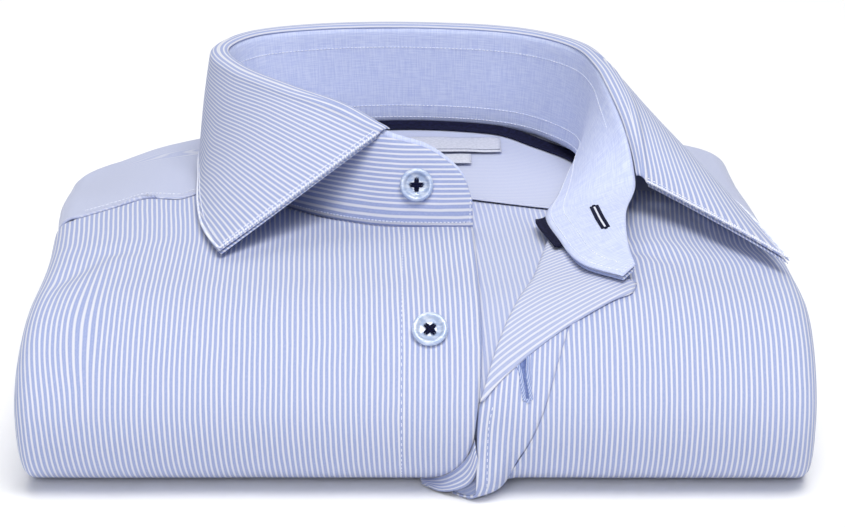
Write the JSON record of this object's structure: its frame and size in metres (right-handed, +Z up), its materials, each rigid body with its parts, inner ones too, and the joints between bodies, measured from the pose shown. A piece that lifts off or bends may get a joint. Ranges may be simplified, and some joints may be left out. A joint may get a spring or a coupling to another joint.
{
  "type": "folded striped shirt",
  "caption": "Long-sleeved striped shirt folded flat for a shelf, its collar open and one front corner turned back.",
  "frame": {"origin": "centre of the folded shirt's box, at the surface that it rests on", "axes": "+X across the fold to the side with the buttonholes, +Y from the front fold to the shoulders, +Z up"},
  "size_m": [0.2534, 0.2342, 0.0987],
  "materials": {
    "striped_cloth": "smooth cotton with fine blue and white stripes, faint sheen",
    "chambray": "plain light blue chambray with white topstitching",
    "navy_trim": "matt navy woven tape",
    "label_satin": "pale woven satin, blank",
    "pearl_button": "pearly light blue, glossy raised rim"
  },
  "bodies": {
    "root": {"folded_layers": "striped_cloth", "front_right": "striped_cloth", "front_left": "striped_cloth", "placket_band": "striped_cloth", "placket_twist": "striped_cloth", "placket_turn_back": "striped_cloth", "yoke_outer": "striped_cloth", "yoke_inner": "striped_cloth", "back_panel": "striped_cloth", "collar_stand_inner": "chambray", "collar_stand_outer": "striped_cloth", "collar_leaf": "striped_cloth", "collar_leaf_under": "striped_cloth", "neck_tape": "navy_trim", "neck_tape_end": "navy_trim", "neck_label": "label_satin", "size_label": "label_satin", "button_collar": "pearl_button", "button_front": "pearl_button"}
  },
  "joints": []
}
